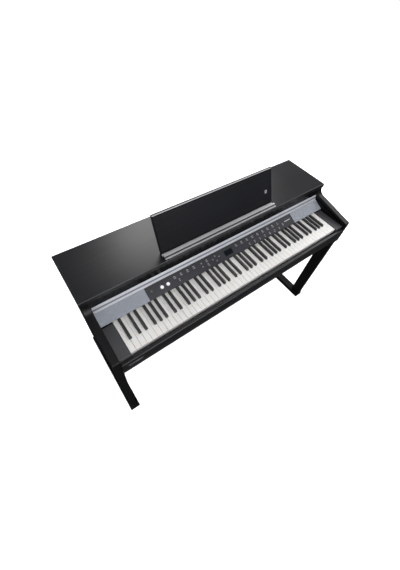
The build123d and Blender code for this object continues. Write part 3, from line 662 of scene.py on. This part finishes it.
def handle_channel_shade_strip():
    """A darker strip that lines the channel along the handle's leaning face, painting the shade in the
    groove.
    """
    low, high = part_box("key_cover_handle")
    tilt = math.atan2(handle_lean, high.z - low.z)
    up = Vector((0, math.sin(tilt), math.cos(tilt)))
    normal = Vector((0, -math.cos(tilt), math.sin(tilt)))
    middle = Vector((0, low.y + handle_lean / 2, (low.z + high.z) / 2)) - normal * channel_depth
    bm = bmesh.new()
    add_bar(bm, frame_on(middle, up, normal), high.x - low.x, channel_width, trim_thickness)
    piece_from(bm, "handle_channel_shade_strip", channel_shade_grey, "key_cover")


def panel_rear_shadow_line():
    """A black felt line along the panel's bend, under the handle, painting the shadow in the gap there.
    """
    width = 2 * (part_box("speaker_grilles")[1].x - 2 * MM)
    behind_bend, depth, thick = 1.5 * MM, 2.4 * MM, 0.9 * MM
    y, z = panel_rear_edge
    bm = bmesh.new()
    add_bar(bm, Matrix.Translation((0, y + behind_bend, z)), width, depth, thick)
    piece_from(bm, "panel_rear_shadow_line", shadow_line_felt, "case")


def ledge_painted_highlights():
    """Light strips on the ledge and behind it up to the rest's foot, and a low light lip in front:
    painted reflections of the bright top board and ledge top.
    """
    low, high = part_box("music_rest_ledge")
    rest_low, rest_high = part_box("music_rest")
    top_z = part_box("top_board")[1].z
    rest_gap, ledge_gap, front_gap, sink = 0.8 * MM, 0.3 * MM, 2.0 * MM, 0.1 * MM
    lip_depth, lip_height = 6.7 * MM, 2.4 * MM
    lip_rear = low.y - rest_gap
    half_ledge = high.x - MM
    bm = bmesh.new()
    for half, front, rear, z, height in (
        (rest_high.x, high.y + ledge_gap, rest_low.y - rest_gap, top_z, trim_thickness),
        (half_ledge, low.y + front_gap, high.y - ledge_gap, high.z - sink, trim_thickness),
        (half_ledge, lip_rear - lip_depth, lip_rear, top_z, lip_height),
    ):
        place = Matrix.Translation((0, (front + rear) / 2, z))
        add_bar(bm, place, 2 * half, rear - front, height, corner_round)
    piece_from(bm, "ledge_painted_highlights", ledge_highlight_metal, "case")


def rest_face():
    """Matrix on the rest's face, with its origin at the middle of the foot, and the face's size."""
    up = Vector((0, math.sin(rest_lean), math.cos(rest_lean)))
    normal = Vector((0, -math.cos(rest_lean), math.sin(rest_lean)))
    points = [v.co for v in nodes["music_rest"].data.vertices]
    rises = [p.dot(up) for p in points]
    foot = up * min(rises) + normal * max(p.dot(normal) for p in points)
    width = max(p.x for p in points) - min(p.x for p in points)
    return frame_on(foot, up, normal), width, max(rises) - min(rises)


def rest_highlight_and_border():
    """A light strip along the top of the rest's face, painting the highlight on its top edge, and a black
    border round the rest of it.
    """
    face, width, full = rest_face()
    band, strip, thick = 4.5 * MM, 5.5 * MM, 0.2 * MM
    end_gap, side_gap = MM, 0.3 * MM
    height = full - strip
    light, dark = bmesh.new(), bmesh.new()
    for bm, x, z, w, h in (
        (light, 0, height + strip / 2, width - 2 * end_gap, strip - 2 * side_gap),
        (dark, 0, band / 2, width, band),
        (dark, 0, height - band / 2, width, band),
        (dark, (band - width) / 2, height / 2, band, height - 2 * band),
        (dark, (width - band) / 2, height / 2, band, height - 2 * band),
    ):
        add_bar(bm, face @ Matrix.Translation((x, z, 0)), w, h, thick)
    piece_from(light, "rest_top_highlight", plate_and_highlight_metal, "music_rest")
    piece_from(dark, "rest_border", bezel_black, "music_rest")


def slip_plate():
    """A plain light inlay near the key slip's left end."""
    low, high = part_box("key_slip")
    x, below_top = -605.0 * MM, 25.5 * MM
    width, tall, thick, corner = 60.0 * MM, 3.2 * MM, 0.3 * MM, 0.8 * MM
    matrix = frame_on(Vector((x, low.y, high.z - below_top)), Vector((0, 0, 1)), Vector((0, -1, 0)))
    bm = bmesh.new()
    add_bar(bm, matrix, width, tall, thick, corner)
    piece_from(bm, "slip_plate", plate_and_highlight_metal, "case")


def panel_plate():
    """A plain inlay near the panel's right end."""
    x, down = 402.0 * MM, 26.5 * MM
    width, tall, thick, corner = 42.0 * MM, 3.4 * MM, 0.1 * MM, 0.8 * MM
    place = Vector((x, *panel_rear_edge)) - panel_up * down
    bm = bmesh.new()
    add_bar(bm, panel_matrix(place, print_lift), width, tall, thick, corner)
    piece_from(bm, "panel_plate", silver_trim, "case")


def rest_inlay():
    """A plain square plate with a dark middle on the rest's face, near its right end."""
    place = rest_face()[0] @ Matrix.Translation((*rest_inlay_place, 0))
    corner = 3.0 * MM
    for name, wide, tall, thick, material in (
        ("rest_inlay", 13.0, 16.0, 0.3, silver_trim),
        ("rest_inlay_middle", 5.5, 7.5, 0.5, socket_plastic),
    ):
        bm = bmesh.new()
        add_bar(bm, place, wide * MM, tall * MM, thick * MM, corner)
        piece_from(bm, name, material, "music_rest")


for name in knob_nodes:
    knob(name)
panel_prints()
button_marks()
button_lamps()
display_bezel()
handle_channel_shade_strip()
panel_rear_shadow_line()
ledge_painted_highlights()
rest_highlight_and_border()
slip_plate()
panel_plate()
rest_inlay()

for name in ("upper_front_panel", "key_bed", "lower_back_panel", "back_board", "pedal_box",
             "rear_leg_left", "rear_leg_right", "key_cover"):
    soften(nodes[name], board_edge_round)
for name in ("control_panel", "speaker_grilles", "key_cover_handle", "power_inlet", "power_supply",
             "music_rest_hinges", "music_rest_hinge_leaves", "key_chassis"):
    soften(nodes[name], small_edge_round)

# Stage, light and camera --------------------------------------------------------------------------

stage_radius = 25.0


def staged(bm, name, material):
    """Makes a part of the stage, which shiny faces don't mirror."""
    obj = object_from(bm, name, material)
    obj.visible_glossy = False
    return obj


def floor():
    bm = bmesh.new()
    bmesh.ops.create_grid(bm, x_segments=8, y_segments=8, size=stage_radius + 1.0)
    staged(bm, "floor", studio_floor("floor_paper", glow=0.95))


def backdrop():
    """A tall round wall far away, so that every view has the same plain ground."""
    bm = bmesh.new()
    sides, radius, height = 64, stage_radius, 40.0
    turns = [2 * math.pi * k / sides for k in range(sides)]
    rings = []
    for z in (0.0, height):
        rings.append([bm.verts.new((radius * math.cos(a), radius * math.sin(a), z)) for a in turns])
    for k in range(sides):
        m = (k + 1) % sides
        bm.faces.new((rings[0][m], rings[0][k], rings[1][k], rings[1][m]))
    wall = staged(bm, "backdrop", studio_floor("backdrop_paper", glow=1.2))
    wall.visible_diffuse = False
    wall.visible_shadow = False


def softbox(name, place, aim, width, depth, radiance, mirror_only=False):
    """A rectangular light whose face has the given radiance. mirror_only: seen in shiny faces only."""
    light = bpy.data.lights.new(name, "AREA")
    light.shape = "RECTANGLE"
    light.size, light.size_y = width, depth
    light.energy = radiance * math.pi * width * depth
    obj = bpy.data.objects.new(name, light)
    obj.visible_camera = False
    obj.visible_diffuse = not mirror_only
    obj.location = place
    obj.rotation_euler = (Vector(aim) - Vector(place)).to_track_quat("-Z", "Y").to_euler()
    bpy.context.scene.collection.objects.link(obj)
    return obj


def world():
    made = bpy.data.worlds.new("studio")
    bpy.context.scene.world = made
    made.use_nodes = True
    tree = made.node_tree
    background = tree.nodes["Background"]
    direction = tree.nodes.new("ShaderNodeTexCoord").outputs["Generated"]
    split = tree.nodes.new("ShaderNodeSeparateXYZ")
    tree.links.new(direction, split.inputs[0])
    ramp = tree.nodes.new("ShaderNodeValToRGB")
    spread = tree.nodes.new("ShaderNodeMapRange")
    spread.inputs["From Min"].default_value = -1.0
    tree.links.new(split.outputs["Z"], spread.inputs["Value"])
    tree.links.new(spread.outputs["Result"], ramp.inputs["Fac"])
    stops = ((0.0, 0.02), (0.48, 0.05), (0.60, 0.10), (0.80, 0.18), (1.0, 0.28))
    while len(ramp.color_ramp.elements) < len(stops):
        ramp.color_ramp.elements.new(0.5)
    for element, (position, level) in zip(ramp.color_ramp.elements, stops):
        element.position = position
        element.color = (level, level, level * 1.04, 1)
    tree.links.new(ramp.outputs["Color"], background.inputs["Color"])
    background.inputs["Strength"].default_value = 1.0


def camera():
    data = bpy.data.cameras.new("camera")
    data.lens = 18.875
    data.sensor_width = 36.0
    data.shift_x = -0.0138
    data.shift_y = -0.0340
    data.clip_end = 100.0
    obj = bpy.data.objects.new("camera", data)
    obj.location = (-0.7065, -0.7302, 1.8340)
    obj.rotation_euler = Euler([math.radians(a) for a in (38.4655, -4.3133, -36.5314)])
    bpy.context.scene.collection.objects.link(obj)
    bpy.context.scene.camera = obj


floor()
backdrop()
world()
softbox("back_right", (1.08, 1.90, 2.90), (0.0, 0.05, 0.87), 2.1, 1.2, 5.2)
softbox("side_right", (2.50, -0.30, 2.80), (0.1, -0.1, 0.80), 1.8, 1.8, 3.6)
softbox("front_left", (-2.1, -2.2, 1.0), (-0.3, 0, 0.75), 1.6, 1.6, 3.0)
softbox("high_front", (0.1, -2.1, 3.4), (-0.1, -0.1, 0.80), 2.0, 2.0, 6.4)
softbox("front_strip", (1.1, -3.2, 2.3), (0.0, -0.2, 0.78), 2.6, 0.9, 8.0, mirror_only=True)
softbox("back_strip", (3.0, 4.4, 0.9), (0.0, 0.2, 0.95), 7.0, 2.2, 2.5, mirror_only=True)
camera()
bpy.context.scene.view_settings.view_transform = "Standard"
